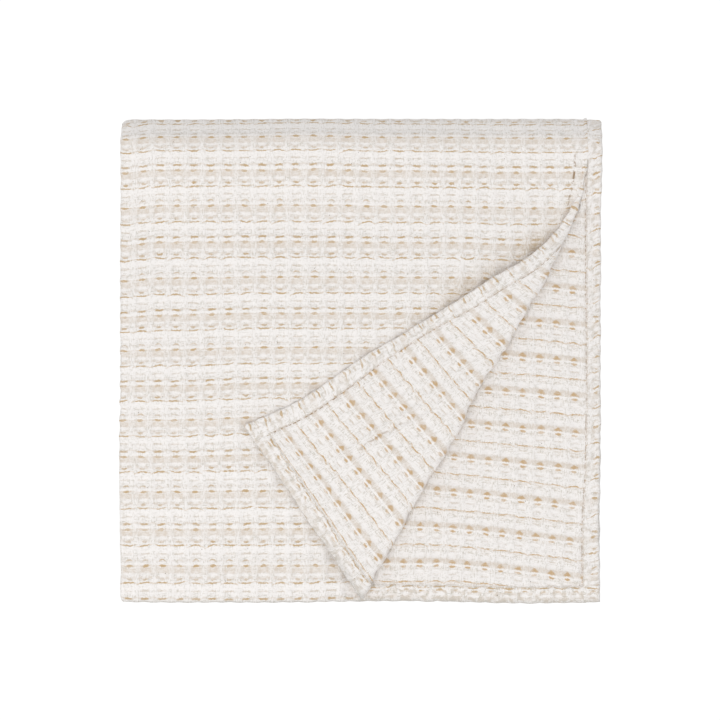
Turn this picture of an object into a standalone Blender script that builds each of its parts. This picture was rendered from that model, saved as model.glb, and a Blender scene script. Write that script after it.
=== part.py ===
"""Waffle weave cotton blanket, folded in four with one corner turned back.

The cloth is laid out flat with its hems, and every point of it is then folded.
On the flat cloth u runs across it from the first fold, to +u over the outer sheet
and to -u over the inner sheet, v runs along it from the open edge of the upper
two layers over the last fold to the open edge of the lower two, and w runs
through it, with the outer face at +w and the reverse face at -w.
Folded, +X is right, +Y points to the last fold, +Z is up, and the origin is the
bottom centre of the blanket. Lengths are metres and angles are degrees.
"""

import math

import bmesh
import bpy
import numpy as np

CLOTH = 0.0032          # thickness of the cloth
HEM = 0.0145            # width of the turned hems
HEM_RISE = 0.0012       # a hem stands this far above the reverse face
HEM_STEP = 0.0012       # width of the slope beside a hem
FACE_GAP = 0.0009       # between outer faces that lie on each other
BACK_GAP = 0.0018       # between reverse faces that lie on each other
HEM_LIFT = 0.00055      # each side gives way by this where two bottom hems meet
HEM_LIFT_RUN = 0.035    # and does so over this length

LEFT = -0.2046          # outside of the first fold
INNER_EDGE = 0.2044     # right edge of the inner sheet
OUTER_EDGE = 0.1893     # right edge of the outer sheet, a hem's width short of it
BOTTOM_EDGE = -0.2056   # the open edges of all four layers
FOLD_TOP = 0.2059       # outside of the last fold

# The last fold in side view, from the upper layers round to the lower ones:
# (turn, length, steps). The slope's length closes the loop at the right height.
LAST_FOLD = (
    (17.0, 0.040, 3),       # the upper layers swell up
    (-8.0, 0.036, 3),
    (-53.0, 0.0130, 4),     # over the crest
    (0.0, None, 3),         # down the slope
    (-136.0, 0.0133, 7),    # round the nose and back along the ground
)
UPPER_RUN_STEPS = 17
LOWER_RUN_STEPS = 7

# The turned corner: (v, inset, turned, lean). The bend starts at inset from the
# outer sheet's right edge, turned is the width of cloth past its start, and lean is
# the direction of the crease from +X.
CREASE = (
    (0.000, 0.1958, 0.1902, 62.0),
    (0.048, 0.1690, 0.1580, 62.2),
    (0.096, 0.1430, 0.1306, 62.3),
    (0.144, 0.1132, 0.1055, 63.0),
    (0.184, 0.0945, 0.0820, 63.2),
    (0.206, 0.0785, 0.0715, 64.5),
    (0.243, 0.0573, 0.0523, 67.0),
    (0.275, 0.0375, 0.0354, 72.5),
    (0.297, 0.0272, 0.0260, 76.6),
    (0.314, 0.0205, 0.0205, 80.0),
    (0.332, 0.0140, 0.0172, 85.0),
    (0.350, 0.0102, 0.0145, 87.0),
    (0.366, 0.0085, 0.0115, 88.0),
    (0.385, 0.0048, 0.0055, 89.0),
    (0.400, 0.0015, 0.0015, 90.0),
    (0.412, 0.0000, 0.0000, 90.0),
)
BEND_RADIUS = 0.0050    # of the crease, to the middle of the cloth
SETTLE_RUN = 0.060      # the flap comes down onto the layer below over this width
SPREAD_STEPS = 8        # columns from the first fold to the crease
BEND_STEPS = 7
FLAP_STEPS = 8
HEM_STEPS = 6
NARROW_FLAP = 0.004     # least room for the columns beside the hem
FIRST_FOLD_STEPS = 8
INNER_STEPS = 10

# Swells of the pile: (rise, length along x, length along y, phase), the rise being
# a share of the height.
SWELLS = (
    (0.030, 0.31, 0.47, 0.4),
    (0.024, 0.19, 0.23, 2.1),
    (0.016, 0.11, 0.16, 4.0),
)
# Where the sides wander: (side, middle, half width, reach toward +X or +Y).
SIDE_WANDER = (
    ("right", -0.100, 0.150, -0.0008),
    ("right", -0.152, 0.040, -0.0009),
    ("bottom", 0.021, 0.055, 0.0010),
    ("bottom", 0.150, 0.080, -0.0007),
    ("left", -0.110, 0.050, -0.0007),
    ("left", -0.178, 0.012, 0.0009),
    ("top", 0.050, 0.170, 0.0008),
)

BLANKET_COLOUR = (0.86, 0.83, 0.78, 1.0)


def smooth_step(t):
    t = np.clip(t, 0.0, 1.0)
    return t * t * (3.0 - 2.0 * t)


def through(x, xs, ys):
    """A smooth curve through the points of a table."""
    xs = np.asarray(xs)
    ys = np.asarray(ys)
    slopes = np.gradient(ys, xs)
    i = np.clip(np.searchsorted(xs, x, side="right") - 1, 0, len(xs) - 2)
    span = xs[i + 1] - xs[i]
    t = np.clip((x - xs[i]) / span, 0.0, 1.0)
    a = 2.0 * t ** 3 - 3.0 * t ** 2 + 1.0
    b = t ** 3 - 2.0 * t ** 2 + t
    c = t ** 3 - t ** 2
    return a * ys[i] + b * span * slopes[i] + (1.0 - a) * ys[i + 1] + c * span * slopes[i + 1]


def half_pair(v_from_edge):
    """Half the distance between the middles of the two sheets."""
    lift = 1.0 - smooth_step((v_from_edge - HEM) / HEM_LIFT_RUN)
    return (CLOTH + BACK_GAP) / 2.0 + HEM_LIFT * lift


PAIR = float(half_pair(1.0))
LOWER_LEVEL = CLOTH / 2.0 + PAIR
UPPER_LEVEL = 3.0 * PAIR + 1.5 * CLOTH + FACE_GAP


def fold_sections(start_v, start_y):
    """The last fold's sections: start v, y, z, heading, turn, length and steps."""
    drop = UPPER_LEVEL - LOWER_LEVEL
    heading = 0.0
    for turn, length, _ in LAST_FOLD:
        if length is None:
            slope_heading = heading
        else:
            drop += along(0.0, 0.0, heading, turn, length, length)[1]
        heading += turn
    slope = -drop / math.sin(math.radians(slope_heading))
    sections = []
    v, y, z, heading = start_v, start_y, UPPER_LEVEL, 0.0
    for turn, length, steps in LAST_FOLD:
        run = slope if length is None else length
        sections.append((v, y, z, heading, turn, run, steps))
        y, z = along(y, z, heading, turn, run, run)
        v += run
        heading += turn
    return sections, v, y, z


def side_sections():
    """The whole cloth in side view, from open edge to open edge."""
    swelling, _, _, _ = fold_sections(0.0, 0.0)
    _, y, z, heading, turn, run, _ = swelling[-1]
    to_nose = run * (-90.0 - heading) / turn
    reach = along(y, z, heading, turn, run, to_nose)[0]
    upper_run = FOLD_TOP - PAIR - CLOTH / 2.0 - reach - BOTTOM_EDGE
    swelling, v, y, z = fold_sections(upper_run, BOTTOM_EDGE + upper_run)
    upper = (0.0, BOTTOM_EDGE, UPPER_LEVEL, 0.0, 0.0, upper_run, UPPER_RUN_STEPS)
    lower = (v, y, z, 180.0, 0.0, y - BOTTOM_EDGE, LOWER_RUN_STEPS)
    return [upper, *swelling, lower]


def along(y, z, heading, turn, length, distance):
    """Follow an arc or a straight run in side view."""
    a = np.radians(heading)
    if turn == 0.0:
        return y + distance * np.cos(a), z + distance * np.sin(a)
    radius = length / math.radians(turn)
    b = a + distance / radius
    return y + radius * (np.sin(b) - np.sin(a)), z - radius * (np.cos(b) - np.cos(a))


SECTIONS = side_sections()
LENGTH = SECTIONS[-1][0] + SECTIONS[-1][5]


def side_view(v):
    """Position and heading, in radians, of the middle line at v."""
    y = np.zeros_like(v)
    z = np.zeros_like(v)
    heading = np.zeros_like(v)
    last_starts = [section[0] for section in SECTIONS[1:]]
    number = np.searchsorted(last_starts, v, side="right")
    for k, (start, y0, z0, angle, turn, run, _) in enumerate(SECTIONS):
        here = number == k
        distance = v[here] - start
        y[here], z[here] = along(y0, z0, angle, turn, run, distance)
        heading[here] = np.radians(angle + turn * distance / run)
    return y, z, heading


def row_positions():
    """v of each row of points, closer in the folds and beside the hems."""
    rows = [0.0, HEM - HEM_STEP / 2.0]
    for start, _, _, _, _, run, steps in SECTIONS:
        first = HEM + HEM_STEP / 2.0 if start == 0.0 else start
        last = start + run
        if start + run >= LENGTH - 1e-9:
            last = LENGTH - HEM - HEM_STEP / 2.0
        rows.extend(first + (last - first) * k / steps for k in range(steps))
    rows.extend([LENGTH - HEM - HEM_STEP / 2.0, LENGTH - HEM + HEM_STEP / 2.0, LENGTH])
    return np.array(rows)


def edge_u(edge):
    """Distance from the first fold's middle to an edge at x."""
    return edge - (LEFT + CLOTH / 2.0 + PAIR) + math.pi / 2.0 * PAIR


OUTER_U = edge_u(OUTER_EDGE)
INNER_U = edge_u(INNER_EDGE)


def crease_at(v):
    """The bend's start, the width turned over and the crease's lean at each v."""
    table = np.array(CREASE)
    inset, turned, lean = (through(v, table[:, 0], table[:, k]) for k in (1, 2, 3))
    has_crease = v < table[-1, 0]
    start = OUTER_U - np.where(has_crease, inset, 0.0)
    return start, np.where(has_crease, turned, 0.0), np.radians(lean)


def column_positions(v):
    """u of each column of points in the row at v."""
    start, turned, lean = (float(values[0]) for values in crease_at(np.array([v])))
    edge = start + turned
    hem_line = edge - HEM - HEM_STEP / 2.0
    crease = min(start, hem_line - NARROW_FLAP)
    bend = min(math.pi * BEND_RADIUS / math.sin(lean), 0.85 * (hem_line - crease))
    turn = math.pi / 2.0 * PAIR
    inner_hem = -INNER_U + HEM
    columns = [-INNER_U, inner_hem - HEM_STEP / 2.0]
    columns += spaced(inner_hem + HEM_STEP / 2.0, -turn, INNER_STEPS)
    columns += spaced(-turn, turn, FIRST_FOLD_STEPS)
    columns += spaced(turn, crease, SPREAD_STEPS)
    columns += spaced(crease, crease + bend, BEND_STEPS)
    columns += spaced(crease + bend, hem_line, FLAP_STEPS)
    columns += spaced(hem_line, hem_line + HEM_STEP, 1)
    columns += spaced(hem_line + HEM_STEP, edge, HEM_STEPS)
    columns.append(edge)
    return columns


def spaced(start, end, steps):
    return [start + (end - start) * k / steps for k in range(steps)]


def flap_bend(width, height_step):
    """Cross-section of the turned corner: across, up and heading at each width."""
    arc = math.pi * BEND_RADIUS
    heading = np.minimum(width, arc) / BEND_RADIUS
    past = np.maximum(width - arc, 0.0) / SETTLE_RUN
    fall = 2.0 * BEND_RADIUS - height_step
    settle = np.where(past < 1.0, (1.0 - np.cos(math.pi * np.minimum(past, 1.0))) / 2.0, 1.0)
    grade = fall * math.pi / (2.0 * SETTLE_RUN) * np.sin(math.pi * np.minimum(past, 1.0))
    across = BEND_RADIUS * np.sin(heading) - past * SETTLE_RUN
    up = BEND_RADIUS * (1.0 - np.cos(heading)) - fall * settle
    return across, up, heading + np.arctan(grade)


def from_open_edge(v):
    return np.minimum(v, LENGTH - v)


def fold(u, v, w):
    """Take points of the flat cloth to their places in the folded blanket."""
    # first fold: the two sheets, reverse faces together
    pair = half_pair(from_open_edge(v))
    turn = math.pi / 2.0 * pair
    angle = np.clip(u, -turn, turn) / pair
    x = LEFT + CLOTH / 2.0 + pair - (pair + w) * np.cos(angle)
    x = x + np.maximum(np.abs(u) - turn, 0.0)
    out = (pair + w) * np.sin(angle)

    # turned corner of the uppermost layer
    start, _, lean = crease_at(v)
    past = u - start
    flap = (past > 0.0) & (v < CREASE[-1][0])
    across, up, heading = flap_bend(np.maximum(past, 0.0) * np.sin(lean), CLOTH + FACE_GAP)
    across = across - w * np.sin(heading)
    up = up + w * np.cos(heading)
    ahead = past * np.cos(lean)
    flap_x = x - past + ahead * np.cos(lean) + across * np.sin(lean)
    flap_v = v + ahead * np.sin(lean) - across * np.cos(lean)
    flap_out = half_pair(flap_v) + up
    x = np.where(flap, flap_x, x)
    run = np.where(flap, flap_v, v)
    out = np.where(flap, flap_out, out)

    # last fold
    y, z, heading = side_view(run)
    y = y - out * np.sin(heading)
    z = z + out * np.cos(heading)
    lift = half_pair(from_open_edge(run)) - PAIR
    z = z + lift * np.where(run < LENGTH / 2.0, 3.0, 1.0)
    return x, y, z


def unevenness(x, y, z, upper):
    """Slight swells of the pile, and sides that wander, most in the upper layers."""
    swell = 1.0
    for rise, along_x, along_y, phase in SWELLS:
        swell = swell + rise * np.sin(math.tau * (x / along_x + y / along_y) + phase)
    moved_x = x.copy()
    moved_y = y.copy()
    for side, middle, half_width, reach in SIDE_WANDER:
        near = {"right": x / INNER_EDGE, "left": x / LEFT}
        near.update({"top": y / FOLD_TOP, "bottom": y / BOTTOM_EDGE})
        along_side = y if side in ("right", "left") else x
        moved = moved_x if side in ("right", "left") else moved_y
        bump = np.exp(-((along_side - middle) / half_width) ** 2)
        moved += reach * bump * smooth_step(2.0 * near[side] - 1.0) * np.where(upper, 1.0, 0.4)
    return moved_x, moved_y, z * swell


def hem_share(u, v):
    """1 on the hems and 0 on the rest of the cloth."""
    start, turned, _ = crease_at(v)
    width = np.where(u > 0.0, start + turned - u, u + INNER_U)
    inset = np.minimum(width, from_open_edge(v))
    return np.clip((HEM + HEM_STEP / 2.0 - inset) / HEM_STEP, 0.0, 1.0)


def flat_cloth():
    """The open cloth, as a slab whose points lie on the rows and columns."""
    rows = row_positions()
    columns = [column_positions(float(v)) for v in rows]
    across = len(columns[0]) - 1
    down = len(rows) - 1
    mesh = bpy.data.meshes.new("blanket")
    bm = bmesh.new()
    bmesh.ops.create_grid(bm, x_segments=across, y_segments=down, size=1.0)
    for vert in bm.verts:
        i = round((vert.co.y + 1.0) / 2.0 * down)
        j = round((vert.co.x + 1.0) / 2.0 * across)
        vert.co = (columns[i][j], rows[i], -CLOTH / 2.0)
    bmesh.ops.solidify(bm, geom=list(bm.faces), thickness=-CLOTH)
    bmesh.ops.recalc_face_normals(bm, faces=list(bm.faces))
    bm.to_mesh(mesh)
    bm.free()
    return mesh


def make_blanket():
    mesh = flat_cloth()
    points = np.empty(len(mesh.vertices) * 3)
    mesh.vertices.foreach_get("co", points)
    u, v, w = points.reshape(-1, 3).T.copy()
    w = np.where(w > 0.0, CLOTH / 2.0, -CLOTH / 2.0 - HEM_RISE * hem_share(u, v))
    folded = np.array(unevenness(*fold(u, v, w), v < LENGTH / 2.0)).T
    folded[:, :2] -= (folded.min(axis=0) + folded.max(axis=0))[:2] / 2.0
    mesh.vertices.foreach_set("co", folded.ravel())
    mesh.update()
    blanket = bpy.data.objects.new("blanket", mesh)
    blanket.data.materials.append(cotton())
    mesh.shade_smooth()
    return blanket


def cotton():
    material = bpy.data.materials.new("waffle_cotton")
    material.use_nodes = True
    shader = material.node_tree.nodes["Principled BSDF"]
    shader.inputs["Base Color"].default_value = BLANKET_COLOUR
    shader.inputs["Roughness"].default_value = 0.9
    shader.inputs["Metallic"].default_value = 0.0
    return material


def main():
    for obj in list(bpy.data.objects):
        bpy.data.objects.remove(obj, do_unlink=True)
    collection = bpy.data.collections.new("waffle_weave_blanket")
    bpy.context.scene.collection.children.link(collection)
    collection.objects.link(make_blanket())


main()
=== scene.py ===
import math

import bpy
import numpy as np
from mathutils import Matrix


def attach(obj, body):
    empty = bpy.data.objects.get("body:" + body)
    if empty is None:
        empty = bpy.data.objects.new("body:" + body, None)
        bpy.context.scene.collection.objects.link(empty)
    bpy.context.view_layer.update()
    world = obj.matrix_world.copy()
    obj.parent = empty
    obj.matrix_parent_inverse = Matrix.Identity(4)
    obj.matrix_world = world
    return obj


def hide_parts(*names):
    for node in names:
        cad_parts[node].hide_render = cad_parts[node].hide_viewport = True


# A waffle weave cotton blanket, folded in four, with one corner turned back.
# Flat on the table the cloth is measured as (s, v, w): s across it from the first
# fold, + over the outer sheet and - over the inner one; v along it from the open
# edge of the upper layers over the last fold; w through it, + to the outer face.
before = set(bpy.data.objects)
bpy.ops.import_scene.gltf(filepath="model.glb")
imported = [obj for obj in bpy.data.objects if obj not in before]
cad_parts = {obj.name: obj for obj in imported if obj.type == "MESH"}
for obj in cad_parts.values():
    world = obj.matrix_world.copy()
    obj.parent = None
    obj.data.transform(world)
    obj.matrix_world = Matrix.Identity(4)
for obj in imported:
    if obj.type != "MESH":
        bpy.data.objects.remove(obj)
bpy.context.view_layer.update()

# how the blanket is folded, in metres and degrees, as in the solid
blanket = {
    "thickness": 0.0032,
    "hem": 0.0145,              # width of the turned hems
    "faceGap": 0.0009,          # between outer faces that lie on each other
    "backGap": 0.0018,          # between reverse faces that lie on each other
    "hemLift": 0.00055,         # where two bottom hems meet
    "hemLiftRun": 0.035,
    "left": -0.2046,            # outside of the first fold
    "innerEdge": 0.2044,
    "outerEdge": 0.1893,
    "bottomEdge": -0.2056,
    "foldTop": 0.2059,          # outside of the last fold
    "creaseRadius": 0.0050,
    "settleRun": 0.060,         # the flap comes down over this width
    "flapLift": (0.250, 0.062),     # where it stays up instead: v and reach
    "flapLiftShare": 0.58,
    "middle": (-0.000448, -0.000078),
    # the last fold in side view: (turn, length)
    "lastFold": ((17.0, 0.040), (-8.0, 0.036), (-53.0, 0.0130), (0.0, None), (-136.0, 0.0133)),
    # the turned corner: (v, inset of the bend, width turned over, lean)
    "crease": (
        (0.000, 0.1958, 0.1902, 62.0),
        (0.048, 0.1690, 0.1580, 62.2),
        (0.096, 0.1430, 0.1306, 62.3),
        (0.144, 0.1132, 0.1055, 63.0),
        (0.184, 0.0945, 0.0820, 63.2),
        (0.206, 0.0785, 0.0715, 64.5),
        (0.243, 0.0573, 0.0523, 67.0),
        (0.275, 0.0375, 0.0354, 72.5),
        (0.297, 0.0272, 0.0260, 76.6),
        (0.314, 0.0205, 0.0205, 80.0),
        (0.332, 0.0140, 0.0172, 85.0),
        (0.350, 0.0102, 0.0145, 87.0),
        (0.366, 0.0085, 0.0115, 88.0),
        (0.385, 0.0048, 0.0055, 89.0),
        (0.400, 0.0015, 0.0015, 90.0),
        (0.412, 0.0000, 0.0000, 90.0),
    ),
    # swells of the pile: (share of the height, length along x, along y, phase)
    "swells": ((0.030, 0.31, 0.47, 0.4), (0.024, 0.19, 0.23, 2.1), (0.016, 0.11, 0.16, 4.0)),
    # blunt corners of the stack: (x, y, how far they are drawn in)
    "corners": (
        (-0.2046, -0.2056, 0.0012),
        (-0.2046, 0.2059, 0.0014),
        (0.2044, -0.2056, 0.0008),
    ),
    "cornerReach": 0.0055,
    # where the sides wander: (side, middle, half width, reach)
    "wander": (
        ("right", -0.100, 0.150, -0.0004),
        ("right", -0.140, 0.035, -0.0015),
        ("bottom", 0.021, 0.055, 0.0010),
        ("bottom", 0.150, 0.080, -0.0011),
        ("bottom", -0.100, 0.080, -0.0004),
        ("left", -0.075, 0.045, -0.0008),
        ("left", -0.178, 0.012, 0.0009),
        ("left", 0.175, 0.050, 0.0011),
        ("top", -0.160, 0.075, -0.0014),
        ("top", -0.045, 0.035, 0.0005),
    ),
    "lowerWander": 0.4,         # share of it in the lower layers
}
# how the open edge of the upper layer ends beside the last fold: a pair is a start and a run
edgeEnd = {
    "pressAlong": (0.285, 0.050),    # in v: the last of the turned edge is pressed flat
    "pressShare": 0.62,
    "lieAlong": (0.265, 0.050),      # in v: the open edge lies down on the second layer
    "lieWidth": 0.012,
    "lieOut": 0.0032,
    "lieDown": 0.0008,
    "standAcross": (0.1835, 0.006),  # in x: the side of the second layer stands up beside it
    "standAlong": (0.090, 0.070),    # in y
    "standAbove": (0.010, 0.006),    # in z: but not the layers below it
    "standHigh": 0.0026,
    "knee": (0.146, 0.022),          # y and reach of a hump there
    "kneeHigh": 0.0014,
    "longAcross": (0.188, 0.004),    # in x: the open side reaches further up
    "longAlong": (0.160, 0.040),     # in y
    "longer": 0.0022,
}


def smoothStep(t):
    t = np.clip(t, 0.0, 1.0)
    return t * t * (3.0 - 2.0 * t)


def rising(x, start, run):
    # from 0 at the start to 1 past the run
    return smoothStep((x - start) / run)


def hump(x, middle, reach):
    # 1 in the middle, and soft to both sides
    return np.exp(-((x - middle) / reach) ** 2)


def through(x, xs, ys):
    # a smooth curve through the points of a table
    xs = np.asarray(xs)
    ys = np.asarray(ys)
    slopes = np.gradient(ys, xs)
    i = np.clip(np.searchsorted(xs, x, side="right") - 1, 0, len(xs) - 2)
    span = xs[i + 1] - xs[i]
    t = np.clip((x - xs[i]) / span, 0.0, 1.0)
    a = 2.0 * t ** 3 - 3.0 * t ** 2 + 1.0
    b = t ** 3 - 2.0 * t ** 2 + t
    c = t ** 3 - t ** 2
    return a * ys[i] + b * span * slopes[i] + (1.0 - a) * ys[i + 1] + c * span * slopes[i + 1]


def halfPair(fromEdge):
    # half the distance between the middles of the two sheets
    lift = 1.0 - smoothStep((fromEdge - blanket["hem"]) / blanket["hemLiftRun"])
    return (blanket["thickness"] + blanket["backGap"]) / 2.0 + blanket["hemLift"] * lift


def follow(y, z, heading, turn, length, distance):
    # along an arc or a straight run in side view
    a = np.radians(heading)
    if turn == 0.0:
        return y + distance * np.cos(a), z + distance * np.sin(a)
    radius = length / math.radians(turn)
    b = a + distance / radius
    return y + radius * (np.sin(b) - np.sin(a)), z - radius * (np.cos(b) - np.cos(a))


pair = float(halfPair(1.0))
firstTurn = math.pi / 2.0 * pair
lowerLevel = blanket["thickness"] / 2.0 + pair
upperLevel = 3.0 * pair + 1.5 * blanket["thickness"] + blanket["faceGap"]


def foldSections(startV, startY):
    drop = upperLevel - lowerLevel
    heading = 0.0
    for turn, length in blanket["lastFold"]:
        if length is None:
            slopeHeading = heading
        else:
            drop += follow(0.0, 0.0, heading, turn, length, length)[1]
        heading += turn
    slope = -drop / math.sin(math.radians(slopeHeading))
    sections = []
    v, y, z, heading = startV, startY, upperLevel, 0.0
    for turn, length in blanket["lastFold"]:
        run = slope if length is None else length
        sections.append((v, y, z, heading, turn, run))
        y, z = follow(y, z, heading, turn, run, run)
        v += run
        heading += turn
    return sections, v, y, z


def sideSections():
    folding = foldSections(0.0, 0.0)[0]
    _, y, z, heading, turn, run = folding[-1]
    reach = follow(y, z, heading, turn, run, run * (-90.0 - heading) / turn)[0]
    upperRun = blanket["foldTop"] - pair - blanket["thickness"] / 2.0 - reach - blanket["bottomEdge"]
    folding, v, y, z = foldSections(upperRun, blanket["bottomEdge"] + upperRun)
    upper = (0.0, blanket["bottomEdge"], upperLevel, 0.0, 0.0, upperRun)
    lower = (v, y, z, 180.0, 0.0, y - blanket["bottomEdge"])
    return [upper, *folding, lower]


sections = sideSections()
clothLength = sections[-1][0] + sections[-1][5]
lowerStart = sections[-1][0]
outerWidth = blanket["outerEdge"] - (blanket["left"] + blanket["thickness"] / 2.0 + pair) + firstTurn
innerWidth = blanket["innerEdge"] - (blanket["left"] + blanket["thickness"] / 2.0 + pair) + firstTurn


def sideView(v):
    y, z, heading = np.zeros_like(v), np.zeros_like(v), np.zeros_like(v)
    number = np.searchsorted([section[0] for section in sections[1:]], v, side="right")
    for k, (start, y0, z0, angle, turn, run) in enumerate(sections):
        here = number == k
        distance = v[here] - start
        y[here], z[here] = follow(y0, z0, angle, turn, run, distance)
        heading[here] = np.radians(angle + turn * distance / run)
    return y, z, heading


def creaseAt(v):
    table = np.array(blanket["crease"])
    inset, turned, lean = (through(v, table[:, 0], table[:, k]) for k in (1, 2, 3))
    creased = v < table[-1, 0]
    inset = np.where(creased, inset, 0.0)
    return outerWidth - inset, inset, np.where(creased, turned, 0.0), np.radians(lean)


def flapBend(width, step, lifted):
    radius = blanket["creaseRadius"]
    settleRun = blanket["settleRun"]
    arc = math.pi * radius
    heading = np.minimum(width, arc) / radius
    past = np.maximum(width - arc, 0.0) / settleRun
    fall = (2.0 * radius - step) * (1.0 - lifted)
    settle = np.where(past < 1.0, (1.0 - np.cos(math.pi * np.minimum(past, 1.0))) / 2.0, 1.0)
    grade = fall * math.pi / (2.0 * settleRun) * np.sin(math.pi * np.minimum(past, 1.0))
    across = radius * np.sin(heading) - past * settleRun
    up = radius * (1.0 - np.cos(heading)) - fall * settle
    return across, up, heading + np.arctan(grade)


def foldCloth(s, v, w):
    # the cloth is drawn in a little where it is turned over
    start, inset, turned, lean = creaseAt(v)
    draw = np.where(inset > 0.0004, turned / np.maximum(inset, 0.0004), 1.0)
    u = s + np.maximum(s - start, 0.0) * (np.minimum(draw, 1.3) - 1.0)

    # first fold: two sheets, reverse faces together
    half = halfPair(np.minimum(v, clothLength - v))
    turn = math.pi / 2.0 * half
    angle = np.clip(u, -turn, turn) / half
    x = blanket["left"] + blanket["thickness"] / 2.0 + half - (half + w) * np.cos(angle)
    x = x + np.maximum(np.abs(u) - turn, 0.0)
    out = (half + w) * np.sin(angle)

    # turned corner
    past = u - start
    flap = (past > 0.0) & (v < blanket["crease"][-1][0])
    step = blanket["thickness"] + blanket["faceGap"]
    lifted = blanket["flapLiftShare"] * hump(v, *blanket["flapLift"])
    across, up, heading = flapBend(np.maximum(past, 0.0) * np.sin(lean), step, lifted)
    across = across - w * np.sin(heading)
    up = (up + w * np.cos(heading)) * (1.0 - edgeEnd["pressShare"] * rising(v, *edgeEnd["pressAlong"]))
    ahead = past * np.cos(lean)
    flapX = x - past + ahead * np.cos(lean) + across * np.sin(lean)
    flapV = v + ahead * np.sin(lean) - across * np.cos(lean)
    x = np.where(flap, flapX, x)
    run = np.where(flap, flapV, v)
    out = np.where(flap, halfPair(flapV) + up, out)

    # the open edge beside the last fold
    width = edgeEnd["lieWidth"]
    beside = rising(v, *edgeEnd["lieAlong"]) * smoothStep((s - outerWidth + width) / width)
    x = x + edgeEnd["lieOut"] * beside
    out = out - edgeEnd["lieDown"] * beside

    # last fold
    y, z, heading = sideView(run)
    y = y - out * np.sin(heading)
    z = z + out * np.cos(heading)
    lift = halfPair(np.minimum(run, clothLength - run)) - pair
    z = z + lift * np.where(run < clothLength / 2.0, 3.0, 1.0)
    stand = edgeEnd["standHigh"] * rising(y, *edgeEnd["standAlong"])
    stand = stand + edgeEnd["kneeHigh"] * hump(y, *edgeEnd["knee"])
    openSide = np.where(s < 0.0, rising(x, *edgeEnd["standAcross"]), 0.0)
    z = z + stand * openSide * rising(z, *edgeEnd["standAbove"])
    return settleCloth(x, y, z, v < clothLength / 2.0)


def settleCloth(x, y, z, upper):
    swell = 1.0
    for rise, alongX, alongY, phase in blanket["swells"]:
        swell = swell + rise * np.sin(math.tau * (x / alongX + y / alongY) + phase)
    movedX = x.copy()
    movedY = y.copy()
    toSide = {
        "right": x / blanket["innerEdge"],
        "left": x / blanket["left"],
        "top": y / blanket["foldTop"],
        "bottom": y / blanket["bottomEdge"],
    }
    share = np.where(upper, 1.0, blanket["lowerWander"])
    for side, middle, halfWidth, reach in blanket["wander"]:
        upright = side in ("right", "left")
        moved = movedX if upright else movedY
        bend = reach * hump(y if upright else x, middle, halfWidth)
        moved += bend * smoothStep(2.0 * toSide[side] - 1.0) * share
    longer = edgeEnd["longer"] * rising(x, *edgeEnd["longAcross"])
    movedY = movedY + longer * rising(y, *edgeEnd["longAlong"])
    for cornerX, cornerY, size in blanket["corners"]:
        away = ((x - cornerX) / blanket["cornerReach"], (y - cornerY) / blanket["cornerReach"])
        near = np.exp(-away[0] ** 2 - away[1] ** 2)
        movedX = movedX - math.copysign(size, cornerX) * near
        movedY = movedY - math.copysign(size, cornerY) * near
    return np.stack([movedX - blanket["middle"][0], movedY - blanket["middle"][1], z * swell], -1)


# the waffle weave, in metres
weave = {
    "column": 0.01454,          # from column to column
    "row": 0.03063,             # from one line row to the next, two cells high
    "firstColumn": 0.0044,      # s of the first column of the outer face
    "firstLine": 0.0182,        # v of the line row nearest the open edge
    "ridge": 0.00160,           # height of the ridges from the middle of the cloth
    "pit": 0.00025,             # and of the pits
    "flatPit": 0.15,            # share of a cell, from its middle, that is flat
    "slope": 0.26,              # and share over which it rises to the ridge
    "halfRow": 0.55,            # from the line rows to the middles of the cells, in cells
    "reverseRow": 0.12,         # less on the reverse
    "uneven": 0.06,             # unevenness of the cells' places, in cells
    "depth": (0.85, 0.3),       # share of the depth, and how much of it varies
    "saddle": 0.10,             # the ridges are lower between their crossings
    "tightAt": (0.4130, 0.0125),     # v and reach of the flatter weave over the last fold
    "tightShare": 0.8,
    "tightHigh": 0.3,
    "stitchLine": 0.0136,       # stitching, from the edge
    "edgeRound": 0.0026,
}
# how the rows of cells lie on the cloth, in metres: a pair is a start and a run
lay = {
    "drift": 0.0016,            # they stand closer and wider over the length
    "driftFrom": 0.02,
    "driftLength": 0.36,
    "droop": 0.0030,            # and droop at the first fold
    "droopWidth": 0.035,
    "droopAlong": (0.15, 0.15),
    # the outer sheet goes further round the last fold than the middle of the stack does
    "roundFold": ((0.376, 0.3866, 0.3955, 0.4110, 0.4300), (0.0, 0.0018, 0.0062, 0.0074, 0.0074)),
    "dip": 0.0135,              # on the reverse they dip to the open side
    "dipPower": 1.25,
    "dipFrom": 0.235,
    "dipLater": 0.05,           # further out at the open end
    "dipLaterAlong": 0.08,
    "dipTo": 0.392,
    "innerShift": ((0.0, 0.12, 0.2405, 0.3835, 0.41), (0.0, -0.0025, -0.0050, -0.0026, -0.0022)),
    "flapLeft": 0.0049,         # the flap's columns: further left, and where more or less so
    "tipLeft": 0.0034,
    "tipAcross": (0.322, 0.014),
    "rootRight": 0.0012,
    "rootAcross": (0.25, 0.05),
    "highLeft": 0.0040,
    "highAlong": (0.125, 0.02),
    "flapDown": 0.0020,         # its rows: further down, and fanned out from the crease
    "fan": 0.081,
    "fanAlong": (-0.004, 0.045),
}
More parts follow.
